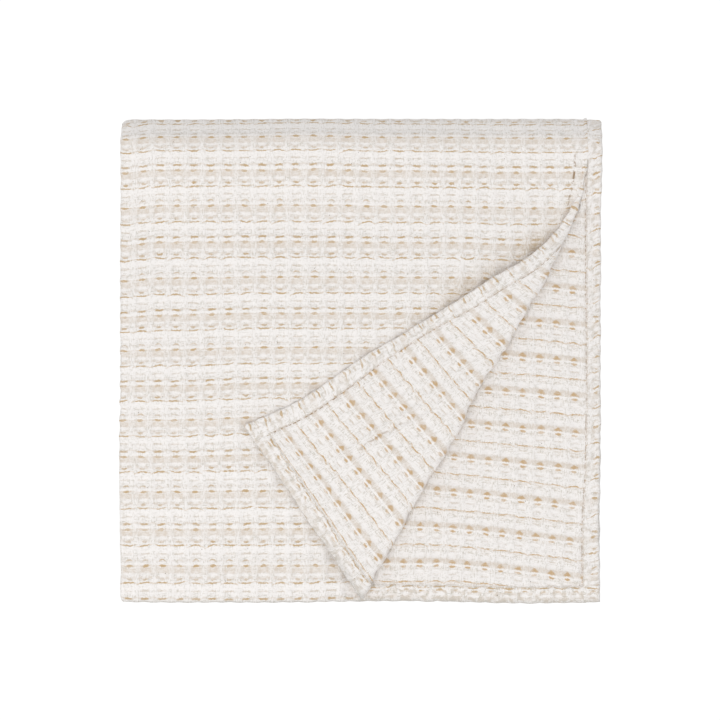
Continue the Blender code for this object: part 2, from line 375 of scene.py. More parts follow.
# the turned hems and the edges, in metres
hems = {
    # how much wider or narrower than blanket["hem"] the hem of the flap is, by v
    "flapWidth": (
        (0.000, 0.030, 0.060, 0.100, 0.135, 0.155, 0.190, 0.230, 0.260),
        (0.0024, 0.0016, 0.0014, 0.0012, -0.0022, -0.0030, -0.0018, 0.0, 0.0),
    ),
    "innerWidth": ((0.0, 0.04, 0.10, 0.42), (0.0007, 0.0002, -0.0015, -0.0007)),
    "widthFades": (0.016, 0.022),
    # how far the edge of the flap bows out, by v
    "flapBow": (
        (0.000, 0.020, 0.050, 0.080, 0.100, 0.120, 0.145, 0.165, 0.250),
        (0.0, -0.0010, -0.0018, -0.0005, 0.0010, 0.0017, 0.0008, 0.0, 0.0),
    ),
    "bowDepth": 0.045,
    "flapEndsAt": 0.25,         # v where both end
    "bulge": 0.00025,           # of the edges at each cell, and how uneven it is
    "bulgeUneven": 0.0007,
    "bulgeDepth": 0.007,
    "endWave": (0.0009, 0.016),      # height and length of the waves in the flap's end
    "endWaveFrom": 0.2,
    "back": 0.0027,             # height of the hems on the reverse
    "relief": 0.0009,           # depth of their cells
    "lumps": (0.0004, 0.0050),
    "roll": 0.0015,             # their edge is rolled under, down to the stitching
    "rollFrom": (0.0128, 0.0016),
    "lip": 0.0003,              # and the cloth beside it is pushed up
    "lipAt": (0.0003, 0.0006),
    "slant": 0.19,              # the turned rows run aslant in the side hems
    "innerCells": (0.0042, 0.0062),
    # bunching of the turned cloth: (reach, length, seed)
    "bunchAcross": ((0.0011, 0.0062, 1.0), (0.0006, 0.0031, 2.0)),
    "bunchAlong": ((0.0010, 0.0067, 3.0), (0.0006, 0.0029, 4.0)),
}
# distances from an edge at which the cloth has lines of points
hemLines = (0.0, 0.0003, 0.0008, 0.0016, 0.0030, 0.0050, 0.0070, 0.0090, 0.0110, 0.0126, 0.0138,
            0.0144, 0.0149, 0.0156)

foldStep = 0.0008               # steps round the first fold
lastFoldFrom = 0.412            # v from which the steps are finer, round the last fold
lastFoldStep = 0.0014
# The four panels of the one cloth, with their seams out of sight in the folds:
# (sheet, first v, last v, step across, step along)
panels = {
    "top_layer": ("outer", 0.0, lowerStart, 0.00195, 0.00200),
    "second_layer": ("inner", 0.0, lowerStart, 0.00210, 0.00210),
    "third_layer": ("inner", lowerStart, clothLength, 0.00350, 0.00350),
    "bottom_layer": ("outer", lowerStart, clothLength, 0.00250, 0.00250),
}


chanceWaves = (12.9898, 78.233, 37.719)
chanceSpread = 4375.5453


def chance(*numbers):
    # a fixed random share for each cell
    mix = sum(np.sin(np.asarray(n, float) * k + k) * chanceSpread for n, k in zip(numbers, chanceWaves))
    return mix - np.floor(mix)


def wobble(s, v, size, seed):
    # a smooth random value from -1 to 1 that changes over the given size
    a, b = s / size, v / size
    i, j = np.floor(a), np.floor(b)
    p, q = smoothStep(a - i), smoothStep(b - j)
    near = chance(i, j, seed) * (1.0 - p) + chance(i + 1.0, j, seed) * p
    far = chance(i, j + 1.0, seed) * (1.0 - p) + chance(i + 1.0, j + 1.0, seed) * p
    return 2.0 * (near * (1.0 - q) + far * q) - 1.0


pullReach = 0.0026              # square of the reach of a pull
# where the soft cloth is pulled about: (x, y, step x, step y) on the pattern, in millimetres
pulls = {
    "face": np.array((
        (30, 20, -2.9, 1.5), (140, 20, -1.7, 1.6), (30, 90, -1.6, 1.3), (140, 90, -0.9, 0.4),
        (30, 160, 1.9, 1.4), (140, 160, -0.8, -1.3), (30, 240, 0.3, 1.3), (140, 240, -1.9, -0.5),
        (250, 240, -0.3, -0.7), (30, 315, -0.1, 0.0), (140, 315, -0.4, -0.5), (250, 315, -2.6, 0.5),
        (360, 315, -0.1, 2.2), (30, 385, -0.9, -1.2), (140, 385, -0.1, -0.6), (250, 385, 0.4, 0.7),
        (360, 385, 4.0, 1.7),
    )) / 1000.0,
    "inner": np.array((
        (-375, 30, -3.5, -0.7), (-305, 30, -3.3, -1.1), (-240, 30, 1.6, 2.6), (-375, 95, 2.8, -0.1),
        (-305, 95, 0.0, -2.3), (-240, 95, 0.6, -3.6), (-375, 160, 5.2, -1.1), (-305, 160, 0.8, 1.3),
        (-375, 225, 1.5, 0.1), (-305, 225, 0.7, 1.1),
    )) / 1000.0,
    "flap": np.array((
        (220, 40, 2.6, -0.4), (290, 40, 4.9, -2.9), (355, 40, 0.5, -3.0), (290, 100, -3.1, -3.7),
        (355, 100, 1.0, -2.5), (290, 160, -0.3, 1.3), (355, 160, 1.2, -0.5), (290, 215, 3.5, -1.1),
        (355, 215, -0.1, 0.6),
    )) / 1000.0,
}


def pulled(x, y, face):
    total, moveX, moveY = 0.000001, 0.0, 0.0
    for atX, atY, stepX, stepY in pulls[face]:
        near = np.exp(-((x - atX) ** 2 + (y - atY) ** 2) / pullReach)
        total = total + near
        moveX = moveX + stepX * near
        moveY = moveY + stepY * near
    return x + moveX / total, y + moveY / total


def facePlace(s, v):
    # place on the pattern of the outer face
    drift = lay["drift"] * np.sin(math.tau * (v - lay["driftFrom"]) / lay["driftLength"])
    droop = lay["droop"] * (1.0 - smoothStep(np.abs(s) / lay["droopWidth"]))
    droop = droop * rising(v, *lay["droopAlong"]) * (v < 0.5)
    return pulled(s, v - drift + droop + through(v, *lay["roundFold"]), "face")


def backPlace(s, v):
    # place on the pattern of the reverse
    wide = np.abs(s)
    begin = lay["dipFrom"] + lay["dipLater"] * (1.0 - smoothStep(v / lay["dipLaterAlong"]))
    dip = lay["dip"] * np.clip((wide - begin) / (lay["dipTo"] - begin), 0.0, 1.5) ** lay["dipPower"]
    innerX = -(wide + np.interp(wide, *lay["innerShift"]))
    innerY = v + dip

    beyond = np.maximum(s - creaseAt(v)[0], 0.0)
    outerX = s - lay["flapLeft"] - lay["tipLeft"] * (1.0 - rising(s, *lay["tipAcross"]))
    outerX = outerX + lay["rootRight"] * (1.0 - rising(s, *lay["rootAcross"]))
    outerX = outerX - lay["highLeft"] * rising(v, *lay["highAlong"])
    outerY = v + lay["flapDown"] + lay["fan"] * rising(v, *lay["fanAlong"]) * beyond
    innerX, innerY = pulled(innerX, innerY, "inner")
    outerX, outerY = pulled(outerX, outerY, "flap")
    inner = s < 0.0
    return np.where(inner, innerX, outerX), np.where(inner, innerY, outerY)


def ridgeShare(offset):
    return rising(np.abs(offset), weave["flatPit"], weave["slope"])


def waffle(x, y, half):
    # 0 in the pits and 1 on the ridges; half moves the cells half a column over
    column = (x - weave["firstColumn"]) / weave["column"] + 0.5 * half
    row = (weave["firstLine"] - y) / (weave["row"] / 2.0) - weave["halfRow"] + weave["reverseRow"] * half
    cellC = np.round(column)
    cellR = np.round(row)
    across = ridgeShare(column - cellC + weave["uneven"] * (chance(cellC, cellR, half) - 0.5))
    along = ridgeShare(row - cellR + weave["uneven"] * (chance(cellC, cellR, half + 3.0) - 0.5))
    height = 1.0 - (1.0 - across) * (1.0 - along)
    deep = weave["depth"][0] + weave["depth"][1] * chance(cellC, cellR, half + 7.0)
    return 1.0 - (1.0 - height) * deep - weave["saddle"] * (1.0 - across * along)


# the soft fold across the flap, in metres: a pair is a start and a run, or a place and a reach
softFold = {
    # its s by v
    "line": ((0.0, 0.0195, 0.0417, 0.0713, 0.1087, 0.1600), (0.3125, 0.3133, 0.3157, 0.3247, 0.3243, 0.3232)),
    "starts": (0.045, 0.030),
    "ends": (0.125, 0.030),
    "crest": 0.0008,
    "trough": 0.0006,
    "shoulder": (0.0055, 0.0050),
    "secondShoulder": (-0.0060, 0.0055),
    "secondShare": 0.8,
    "bottom": (0.0, 0.0016),
    # and the painted shade along it, a dark line, faint before the fold starts
    "lineWidth": 0.0017,
    "lineShare": 0.7,
    "lineStarts": (0.060, 0.010),
    "lineEnds": (0.108, 0.012),
    "faintShare": 0.45,
    "faintStarts": (0.014, 0.010),
    "faintEnds": (0.045, 0.010),
}


def between(x, starts, ends):
    return rising(x, *starts) * (1.0 - rising(x, *ends))


def wrinkle(s, v):
    away = s - through(v, *softFold["line"])
    crest = hump(away, *softFold["shoulder"])
    crest = crest + softFold["secondShare"] * hump(away, *softFold["secondShoulder"])
    relief = softFold["crest"] * crest - softFold["trough"] * hump(away, *softFold["bottom"])
    return between(v, softFold["starts"], softFold["ends"]) * relief


# painted shade along the soft fold
def wrinkleLine(s, v):
    along = between(v, softFold["lineStarts"], softFold["lineEnds"])
    along = along + softFold["faintShare"] * between(v, softFold["faintStarts"], softFold["faintEnds"])
    line = hump(s - through(v, *softFold["line"]), 0.0, softFold["lineWidth"])
    return softFold["lineShare"] * line * along


# how deep and how far the yarns beside the edges of the flap lie in its shade
shading = {
    "paleWidth": 0.0032,        # less at the edge itself, where the real shade falls
    "paleShare": 0.80,
    "raised": (0.145, 0.345),   # v between which the flap stands up
    "raisedLength": 0.20,
    "raisedLater": 1.3,
    "raisedPower": 0.7,
    "flatShare": 0.45,          # shade where it lies flat
    "flatAlong": 0.035,
    "reach": (0.0026, 0.0102),  # there, and how much more where it stands up
    "endReach": 0.0030,
    "end": ((0.205, 0.35, 0.39), (1.0, 0.7, 0.1)),
    "creaseEnds": 0.36,
    "creaseReach": 0.0036,
    "creaseHeight": 0.0016,
    "creaseFades": (0.25, 0.05),
    "creaseFade": 0.8,
    # the shade is uneven: (share, how much it varies, length, seed)
    "sideKnots": (0.82, 0.6, 0.010, 21.0),
    "endKnots": (0.8, 0.6, 0.009, 22.0),
    "creaseKnots": (0.75, 0.5, 0.010, 23.0),
    "edgeKnots": (0.8, 0.7, 0.007, 24.0),
    "onFace": 0.77,
    "onBack": 0.65,
}


def knots(x, kind):
    share, uneven, size, seed = shading[kind]
    return share + uneven * wobble(x, 0.0 * x, size, seed)


def shadeBeside(place, s, v, w, depth, reach):
    # the yarns that lie in the shade beside an edge of the flap: depth and reach along it
    edge = foldCloth(s, v, np.full_like(s, w))
    share = np.zeros(place.shape[:-1])
    for (edgeX, edgeY, _), deep, far in zip(edge, depth, reach):
        away = (place[..., 0] - edgeX) ** 2 + (place[..., 1] - edgeY) ** 2
        pale = shading["paleShare"] * np.exp(-away / shading["paleWidth"] ** 2)
        near = np.exp(-away / far ** 2) * (1.0 - pale)
        share = np.maximum(share, deep * near)
    return share


def flapShade(place):
    first, last = shading["raised"]
    v = np.linspace(0.0, last, 139)
    share = np.clip((v - first) / shading["raisedLength"], 0.0, 1.0) ** shading["raisedLater"]
    raised = np.sin(math.pi * share) ** shading["raisedPower"]
    lying = shading["flatShare"] * smoothStep(v / shading["flatAlong"])
    depth = knots(v, "sideKnots") * np.maximum(lying, raised)
    reach = shading["reach"][0] + shading["reach"][1] * raised
    side = shadeBeside(place, np.full_like(v, outerWidth), v, 0.0, depth, reach)
    s = np.linspace(shading["end"][0][0], outerWidth, 90)
    depth = knots(s, "endKnots") * np.interp(s, *shading["end"])
    end = shadeBeside(place, s, np.zeros_like(s), 0.0, depth, np.full_like(s, shading["endReach"]))
    return np.maximum(side, end)


def creaseShade(place):
    v = np.linspace(0.0, shading["creaseEnds"], 145)
    start, _, _, lean = creaseAt(v)
    s = start + math.pi / 2.0 * blanket["creaseRadius"] / np.sin(lean)
    depth = knots(v, "creaseKnots") * (1.0 - shading["creaseFade"] * rising(v, *shading["creaseFades"]))
    return shadeBeside(place, s, v, shading["creaseHeight"], depth, np.full_like(v, shading["creaseReach"]))


def edgeInsets(s, v):
    outer = s > -firstTurn - 1e-9
    fromSide = np.where(outer, outerWidth - s, s + innerWidth)
    return outer, fromSide, np.minimum(v, clothLength - v)


def laidOut(s, v):
    # the edges bulge a little at each cell, and the hem of the flap is turned unevenly
    outer, fromSide, fromEnd = edgeInsets(s, v)
    sign = np.where(outer, 1.0, -1.0)
    toEnd = np.where(v < clothLength / 2.0, -1.0, 1.0)

    def bulge(cells, seed):
        uneven = chance(np.floor(cells + 0.5), seed) - 0.5
        return hems["bulge"] * np.cos(math.tau * cells) + hems["bulgeUneven"] * uneven

    sideBulge = bulge(v / (weave["row"] / 2.0), sign)
    movedS = s + sign * sideBulge * (1.0 - smoothStep(fromSide / hems["bulgeDepth"]))
    onFlap = outer & (v < hems["flapEndsAt"])
    wide = through(v, *hems["flapWidth"]) * np.where(onFlap, 1.0, 0.0)
    wide = np.where(outer, wide, through(v, *hems["innerWidth"]))
    bow = np.where(onFlap, through(v, *hems["flapBow"]), 0.0)
    movedS = movedS + bow * (1.0 - smoothStep(fromSide / hems["bowDepth"]))
    widened = smoothStep(fromSide / blanket["hem"])
    movedS = movedS - sign * wide * widened * (1.0 - rising(fromSide, *hems["widthFades"]))
    wave, waveLength = hems["endWave"]
    endWave = np.where(outer & (s > hems["endWaveFrom"]), wave * wobble(s, 0.0 * s, waveLength, 31.0), 0.0)
    endBulge = bulge(s / weave["column"], 5.0) + endWave
    movedV = v + toEnd * endBulge * (1.0 - smoothStep(fromEnd / hems["bulgeDepth"]))
    return movedS, movedV


def hemRegion(outer, fromSide, fromEnd):
    # 0 the open cloth, 1 a side hem, 2 an end hem
    hem = blanket["hem"]
    side = fromSide < hem
    end = fromEnd < hem
    overEnd = side & (outer | ~end)
    return np.where(overEnd, 1, np.where(end, 2, 0))


def clothFaces(s, v, outer, fromSide, fromEnd):
    # heights of the two faces, and the place of each point on the patterns
    sideEdge = np.where(outer, outerWidth, innerWidth)
    inset = np.minimum(fromSide, fromEnd)
    hem = blanket["hem"]

    faceX, faceY = facePlace(s, v)
    backX, backY = backPlace(s, v)
    sign = np.where(outer, 1.0, -1.0)
    bunchX, bunchY = (
        sum(reach * wobble(s, v, size, seed) for reach, size, seed in hems[way])
        for way in ("bunchAcross", "bunchAlong")
    )
    innerX, innerY = hems["innerCells"]
    sideHemX = sign * (sideEdge + fromSide) - np.where(outer, 0.0, innerX) + bunchX
    sideHemY = faceY + hems["slant"] * fromSide + np.where(outer, 0.0, innerY) + bunchY
    endHemX = faceX + bunchX
    endHemY = np.where(v < clothLength / 2.0, -fromEnd, clothLength + fromEnd) + bunchY

    # the weave lies flatter over the last fold
    foldAt, foldReach = weave["tightAt"]
    tight = 1.0 - weave["tightShare"] * np.exp(-((v - foldAt) / foldReach) ** 4)
    rise = (weave["ridge"] - weave["pit"]) * tight
    flat = weave["tightHigh"] * (weave["ridge"] - weave["pit"]) * (1.0 - tight)
    face = weave["pit"] + flat + rise * waffle(faceX, faceY, 0)
    back = -weave["pit"] - flat - rise * waffle(backX, backY, 1)
    inEnd = hemRegion(outer, fromSide, fromEnd) == 2
    hemX = np.where(inEnd, endHemX, sideHemX)
    hemY = np.where(inEnd, endHemY, sideHemY)
    hemBack = -hems["back"] + hems["relief"] * (1.0 - waffle(hemX, hemY, 0))
    lump, lumpSize = hems["lumps"]
    hemBack = hemBack + lump * wobble(s, v, lumpSize, 6.0)
    hemBack = hemBack + hems["roll"] * rising(inset, *hems["rollFrom"])
    back = np.where(inset < hem - 0.0001, hemBack, back)
    back = back + hems["lip"] * hump(inset - hem, *hems["lipAt"])
    bend = np.where(outer & (v < 0.4), wrinkle(s, v), 0.0)
    face = face - bend
    back = back - bend

    # the folded edge is round
    t = np.clip(inset / weave["edgeRound"], 0.0, 1.0)
    share = np.sqrt(np.maximum(1.0 - (1.0 - t) ** 2, 0.0))
    middle = (face + back) / 2.0
    face = middle + (face - middle) * share
    back = middle + (back - middle) * share
    places = {
        "face": (faceX, faceY),
        "back": (backX, backY),
        "sideHem": (sideHemX, sideHemY),
        "endHem": (endHemX, endHemY),
    }
    return face, back, places


# painted shade along the hem seam and the turned edge, and on the edges, which are painted darker where they
# turn away from the light, in metres
paintedShade = {
    # painted shade in the crevice of the hem seam, by distance from the edge
    "lineShade": ((0.0126, 0.0138, 0.0144, 0.0149, 0.0156), (0.0, 0.2, 0.8, 1.0, 0.0)),
    "flapSeam": ((0.06, 0.13), (1.25, 0.85)),    # its strength by v
    "innerSeam": 0.85,
    "endSeam": (0.08, 0.75),    # and on the end hems, and how much more at their corners
    "cornerReach": 0.030,
    "sideWidth": 0.0028,        # the sides, darker with painted shade
    "sideShare": (0.12, 0.5),   # of the outer and the inner sheet
    "endWidth": 0.0045,         # and ends
    "endShare": (0.05, 1.0),
    "rim": 0.0015,
    "flapRim": 0.0008,
    "rimShare": 1.6,
    "tipFades": (0.235, 0.085),      # in s: the tip of the flap, whose end hem gets more painted shade
    "tipWidth": 0.0065,
    "tipShare": 1.1,
    "foldMiddle": 46.0 / 136.0,      # the outside of the last fold, as a share of its last bend, where the face gets a little painted shade
    "foldStarts": (-0.0090, 0.0030),
    "foldEnds": (0.004, 0.004),
    "foldShare": 0.08,
    # painted shade along the line where the turned edge goes on beside the last fold: v, and its distance
    # from the side by v
    "edgeStarts": (0.328, 0.010),
    "edgeEnds": (0.392, 0.010),
    "edgeAt": ((0.330, 0.338, 0.348, 0.363, 0.390), (0.0150, 0.0133, 0.0114, 0.0092, 0.0086)),
    "edgeAside": 0.0040,
}


def shadedPlaces(name, s, v, outer, fromSide, fromEnd, places):
    # shares of the painted shade in the seam lines, the painted shade on the edges, the hems and the painted
    # shade beside the flap and the crease, on the face and on the back
    inset = np.minimum(fromSide, fromEnd)
    region = hemRegion(outer, fromSide - 0.0007, fromEnd - 0.0007)
    # painted shade in the crevice of the hem seam, stronger at the corners of the end hems, and along the
    # soft fold
    endSeam, cornerSeam = paintedShade["endSeam"]
    endSeam = endSeam + cornerSeam * hump(fromSide, 0.0, paintedShade["cornerReach"])
    strength = np.where(outer, np.interp(v, *paintedShade["flapSeam"]), paintedShade["innerSeam"])
    strength = np.where(region == 1, strength, endSeam)
    backSeam = np.interp(inset, *paintedShade["lineShade"]) * strength
    backSeam = np.maximum(backSeam, np.where(outer & (v < 0.4), wrinkleLine(s, v), 0.0))

    # painted shade on the sides and ends, fading inwards
    def shadeFrom(away, part):
        outerShare, innerShare = paintedShade[part + "Share"]
        return (1.0 - smoothStep(away / paintedShade[part + "Width"])) * np.where(outer, outerShare, innerShare)

    # a narrow band of stronger painted shade at the very ends, narrower at the end of the flap
    rim = np.where(outer & (s > 0.2) & (v < clothLength / 2.0), paintedShade["flapRim"], paintedShade["rim"])
    endShade = np.maximum(shadeFrom(fromEnd, "end"), paintedShade["rimShare"] * hump(fromEnd, 0.0, rim))
    edgeShade = np.maximum(shadeFrom(fromSide, "side"), endShade)
    # more painted shade on the end hem of the flap
    tip = (1.0 - rising(s, *paintedShade["tipFades"])) * (1.0 - smoothStep(fromEnd / paintedShade["tipWidth"]))
    onBack = np.maximum(edgeShade, paintedShade["tipShare"] * np.where(outer, tip, 0.0))
    # a little painted shade on the outer face where the last fold turns down
    outside = sections[-2][0] + sections[-2][5] * paintedShade["foldMiddle"]
    fold = between(v - outside, paintedShade["foldStarts"], paintedShade["foldEnds"])
    onFace = np.maximum(edgeShade, fold * paintedShade["foldShare"])
    # 1 on the side hems, 1.5 on the end of the flap, 2 on the other end hems
    hem = np.where(fromSide < blanket["hem"] - 0.0002, 1.0, 0.0)
    hem = np.where(fromEnd < blanket["hem"] - 0.0002, np.where(outer, 1.5, 2.0), hem)

    none = np.zeros_like(s)
    faceSeam, faceShade, backShade, aside = none, none, none, none
    if name == "top_layer":
        faceShade = shading["onFace"] * flapShade(places[0])
        # painted shade along the turned edge beside the last fold
        faceSeam = between(v, paintedShade["edgeStarts"], paintedShade["edgeEnds"]) * knots(v, "edgeKnots")
        aside = np.clip((fromSide - through(v, *paintedShade["edgeAt"])) / paintedShade["edgeAside"], -1.0, 1.0)
    if name == "second_layer":
        backShade = shading["onBack"] * creaseShade(places[1])
    return {
        "lineShade": (faceSeam, backSeam),
        "edge": (onFace, onBack),
        "hem": (none, hem),
        "shaded": (faceShade, backShade),
        "aside": (aside, none),
    }


def spaced(start, end, step):
    count = max(1, round((end - start) / step))
    return list(start + (end - start) * np.arange(count) / count)


def panelLines(sheet, firstV, lastV, stepS, stepV):
    last = hemLines[-1]
    if sheet == "outer":
        across = spaced(-firstTurn, firstTurn, foldStep)
        across += spaced(firstTurn, outerWidth - last, stepS)
        across += [outerWidth - d for d in reversed(hemLines)]
    else:
        across = [d - innerWidth for d in hemLines[:-1]]
        across += spaced(last - innerWidth, -firstTurn, stepS) + [-firstTurn]
    if firstV == 0.0:
        along = list(hemLines[:-1]) + spaced(last, lastFoldFrom, stepV)
        along += spaced(lastFoldFrom, lastV, lastFoldStep) + [lastV]
    else:
        along = spaced(firstV, lastV - last, stepV) + [lastV - d for d in reversed(hemLines)]
    return np.array(across), np.array(along)


def placed(name, data):
    thing = bpy.data.objects.new(name, data)
    bpy.context.scene.collection.objects.link(thing)
    return thing


def makePanel(name):
    sheet, firstV, lastV, stepS, stepV = panels[name]
    across, along = panelLines(sheet, firstV, lastV, stepS, stepV)
    s, v = np.meshgrid(across, along)
    outer, fromSide, fromEnd = edgeInsets(s, v)
    movedS, movedV = laidOut(s, v)
    face, back, places = clothFaces(movedS, movedV, outer, fromSide, fromEnd)
    count = s.size
    points = np.concatenate([
        foldCloth(movedS, movedV, face).reshape(-1, 3),
        foldCloth(movedS, movedV, back).reshape(-1, 3),
    ])

    number = np.arange(count).reshape(s.shape)
    rim = (fromSide < 1e-7) | (fromEnd < 1e-7)
    backNumber = np.where(rim, number, number + count)

    def quads(n):
        return np.stack([n[:-1, :-1], n[:-1, 1:], n[1:, 1:], n[1:, :-1]], -1).reshape(-1, 4)

    faceQuads = quads(number)
    backQuads = quads(backNumber)[:, ::-1]
    seams = []
    if sheet == "outer":
        seams.append((number[:, 0], backNumber[:, 0], False))
    else:
        seams.append((number[:, -1], backNumber[:, -1], True))
    if firstV == 0.0:
        seams.append((number[-1], backNumber[-1], False))
    else:
        seams.append((number[0], backNumber[0], True))
    seamQuads = []
    for a, b, flip in seams:
        ribbon = np.stack([a[:-1], a[1:], b[1:], b[:-1]], -1)
        seamQuads.append(ribbon[:, ::-1] if flip else ribbon)
    seamQuads = np.concatenate(seamQuads)
    allQuads = np.concatenate([faceQuads, backQuads, seamQuads])

    # a quad whose corners meet on the rim is a triangle there
    faces = [tuple(dict.fromkeys(q)) for q in allQuads.tolist()]
    used = np.unique(np.concatenate([np.array(f) for f in faces]))
    renumber = np.full(len(points), -1)
    renumber[used] = np.arange(len(used))
    mesh = bpy.data.meshes.new(name)
    mesh.from_pydata(points[used].tolist(), [], [tuple(renumber[list(f)].tolist()) for f in faces])

    # cloth coordinates of each corner, by the region that its face is in
    flatS = (s[:-1, :-1] + s[1:, 1:]).ravel() / 2.0
    flatV = (v[:-1, :-1] + v[1:, 1:]).ravel() / 2.0
    region = hemRegion(*edgeInsets(flatS, flatV))
    flat = {}
    for key, (px, py) in places.items():
        flat[key] = np.stack([px.ravel(), py.ravel()], -1)
    cornerPlaces = []
    materialIndex = []
    keys = ("back", "sideHem", "endHem")
    offset = len(faceQuads)
    for face in faces[:offset]:
        cornerPlaces.extend(flat["face"][list(face)])
        materialIndex.append(0)
    for k, face in enumerate(faces[offset:offset + len(backQuads)]):
        table = flat[keys[region[k]]]
        cornerPlaces.extend(table[[n % count for n in face]])
        materialIndex.append(1 if region[k] == 0 else 0)
    for face in faces[offset + len(backQuads):]:
        cornerPlaces.extend(flat["face"][[n % count for n in face]])
        materialIndex.append(0)
    layer = mesh.uv_layers.new(name="cloth")
    layer.uv.foreach_set("vector", np.array(cornerPlaces, np.float32).ravel())
    shares = shadedPlaces(name, s, v, outer, fromSide, fromEnd, points.reshape(2, *s.shape, 3))
    for key in shares:
        share = np.concatenate([shares[key][0].ravel(), shares[key][1].ravel()])
        mesh.attributes.new(key, "FLOAT", "POINT").data.foreach_set("value", share[used].astype(np.float32))
    mesh.polygons.foreach_set("material_index", np.array(materialIndex, np.int32))
    mesh.shade_smooth()
    sharp = mesh.attributes.new("sharp_edge", "BOOLEAN", "EDGE")
    seamPoints = set()
    for a, b, _ in seams:
        seamPoints.update(renumber[a].tolist())
        seamPoints.update(renumber[b].tolist())
    ends = np.empty(len(mesh.edges) * 2, np.int32)
    mesh.edges.foreach_get("vertices", ends)
    inSeam = np.isin(ends.reshape(-1, 2), list(seamPoints)).all(axis=1)
    sharp.data.foreach_set("value", inSeam)
    mesh.update()
    panel = placed(name, mesh)
    width = (outerWidth if sheet == "outer" else innerWidth - 2.0 * firstTurn) + firstTurn
    return panel, (width, lastV - firstV)


class Strand:
    # one value of a material, so that its maths reads as plain sums

    def __init__(self, dye, socket):
        self.dye = dye
        self.socket = socket

    def sum(self, operation, *values, clamp=False):
        node = self.dye.tree.nodes.new("ShaderNodeMath")
        node.operation = operation
        node.use_clamp = clamp
        for socket, value in zip(node.inputs, values):
            self.dye.give(socket, value)
        return Strand(self.dye, node.outputs[0])

    def __add__(self, other):
        return self.sum("ADD", self, other)

    __radd__ = __add__

    def __sub__(self, other):
        return self.sum("SUBTRACT", self, other)

    def __rsub__(self, other):
        return self.sum("SUBTRACT", other, self)

    def __mul__(self, other):
        return self.sum("MULTIPLY", self, other)

    __rmul__ = __mul__

    def __truediv__(self, other):
        return self.sum("DIVIDE", self, other)

    def __rtruediv__(self, other):
        return self.sum("DIVIDE", other, self)

    def __abs__(self):
        return self.sum("ABSOLUTE", self)

    def whole(self):
        return self.sum("FLOOR", self)

    def rest(self):
        return self.sum("FRACT", self)

    def clamped(self):
        return self.sum("ADD", self, 0.0, clamp=True)

    def most(self, other):
        return self.sum("MAXIMUM", self, other)

    def least(self, other):
        return self.sum("MINIMUM", self, other)


class Dye:
    # one material and its nodes

    def __init__(self, name):
        self.material = bpy.data.materials.new(name)
        self.material.use_nodes = True
        self.tree = self.material.node_tree
        self.shader = self.tree.nodes["Principled BSDF"]

    def give(self, socket, value):
        if isinstance(value, Strand):
            self.tree.links.new(value.socket, socket)
        else:
            socket.default_value = value

    def node(self, kind, settings, sockets, output=0):
        node = self.tree.nodes.new(kind)
        for key, value in settings.items():
            setattr(node, key, value)
        for key, value in sockets.items():
            self.give(node.inputs[key], value)
        return Strand(self, node.outputs[output])

    def blend(self, share, first, second):
        settings = {"data_type": "RGBA"}
        return self.node("ShaderNodeMix", settings, {"Factor": share, 6: first, 7: second}, 2)

    def dyed(self, colour, share, name):
        return self.blend(share.clamped(), colour, yarn[name])

    def attribute(self, name):
        return self.node("ShaderNodeAttribute", {"attribute_name": name}, {}, 2)

    def noise(self, place, scale, detail=2.0, roughness=0.5, output=0):
        values = {"Vector": place, "Scale": scale, "Detail": detail, "Roughness": roughness}
        return self.node("ShaderNodeTexNoise", {"noise_dimensions": "2D"}, values, output)

    def parts(self, value):
        node = self.tree.nodes.new("ShaderNodeSeparateXYZ")
        self.give(node.inputs[0], value)
        return [Strand(self, socket) for socket in node.outputs]

    def vector(self, x, y, z=0.0):
        return self.node("ShaderNodeCombineXYZ", {}, {"X": x, "Y": y, "Z": z})


# yarn colours, and the marks that the yarns make, in millimetres from the middle of
# a column and down from a line row
yarn = {
    "white": (0.960, 0.928, 0.908, 1.0),
    "shade": (0.745, 0.700, 0.648, 1.0),
    "tick": (0.600, 0.570, 0.500, 1.0),
    "dash": (0.670, 0.585, 0.490, 1.0),
    "beige": (0.745, 0.665, 0.585, 1.0),
    "tan": (0.600, 0.435, 0.255, 1.0),
    "backTan": (0.610, 0.425, 0.240, 1.0),
    "seed": (0.160, 0.105, 0.060, 1.0),
    # the last three are painted shade: in the seam and fold lines, on the edges, and beside the flap and the
    # crease
    "creviceShade": (0.340, 0.225, 0.125, 1.0),
    "edge": (0.560, 0.530, 0.490, 1.0),
    "shaded": (0.520, 0.385, 0.225, 1.0),
}


def spot(x, y, wide, high, firm=1.6):
    # a soft oval mark
    a = x / wide
    b = y / high
    return ((1.0 - (a * a + b * b)) * firm).clamped()


def bar(x, y, wide, high, firm=2.2):
    # a soft mark with square ends
    a = ((1.0 - abs(x) / wide) * firm).clamped()
    b = ((1.0 - abs(y) / high) * firm).clamped()
    return a * b


def strip(y, high, soft=1.8):
    # a soft line
    return ((high - abs(y)) * soft).clamped()


# how the yarns sway, coarsely and finely: (scale, metres across, metres along)
yarnSway = ((90.0, 0.0020, 0.0014), (430.0, 0.0011, 0.0012))
lineShift = 0.04                # from the top of a repeat to its line row, in repeats


def weavePlaces(dye, half):
    flat = dye.node("ShaderNodeUVMap", {"uv_map": "cloth"}, {})
    x, y, _ = dye.parts(flat)
    for scale, swayX, swayY in yarnSway:
        red, green, _ = dye.parts(dye.noise(flat, scale, 1.0, output=1))
        x = x + (red - 0.5) * swayX
        y = y + (green - 0.5) * swayY
    column = (x - weave["firstColumn"]) / weave["column"] + (0.5 + 0.5 * half)
    line = (weave["firstLine"] - y) / weave["row"] + lineShift
    cell = column.whole()
    rowNumber = line.whole()
    across = (column.rest() - 0.5) * (weave["column"] * 1000.0)
    down = (line.rest() - lineShift) * (weave["row"] * 1000.0)
    odd = (rowNumber * 0.5).rest() * 2.0
    return flat, cell, rowNumber, across, down, odd


def cellChance(dye, cell, rowNumber, seed):
    chanceNode = dye.node("ShaderNodeTexWhiteNoise", {"noise_dimensions": "3D"},
                          {"Vector": dye.vector(cell, rowNumber, seed)}, 1)
    return dye.parts(chanceNode)


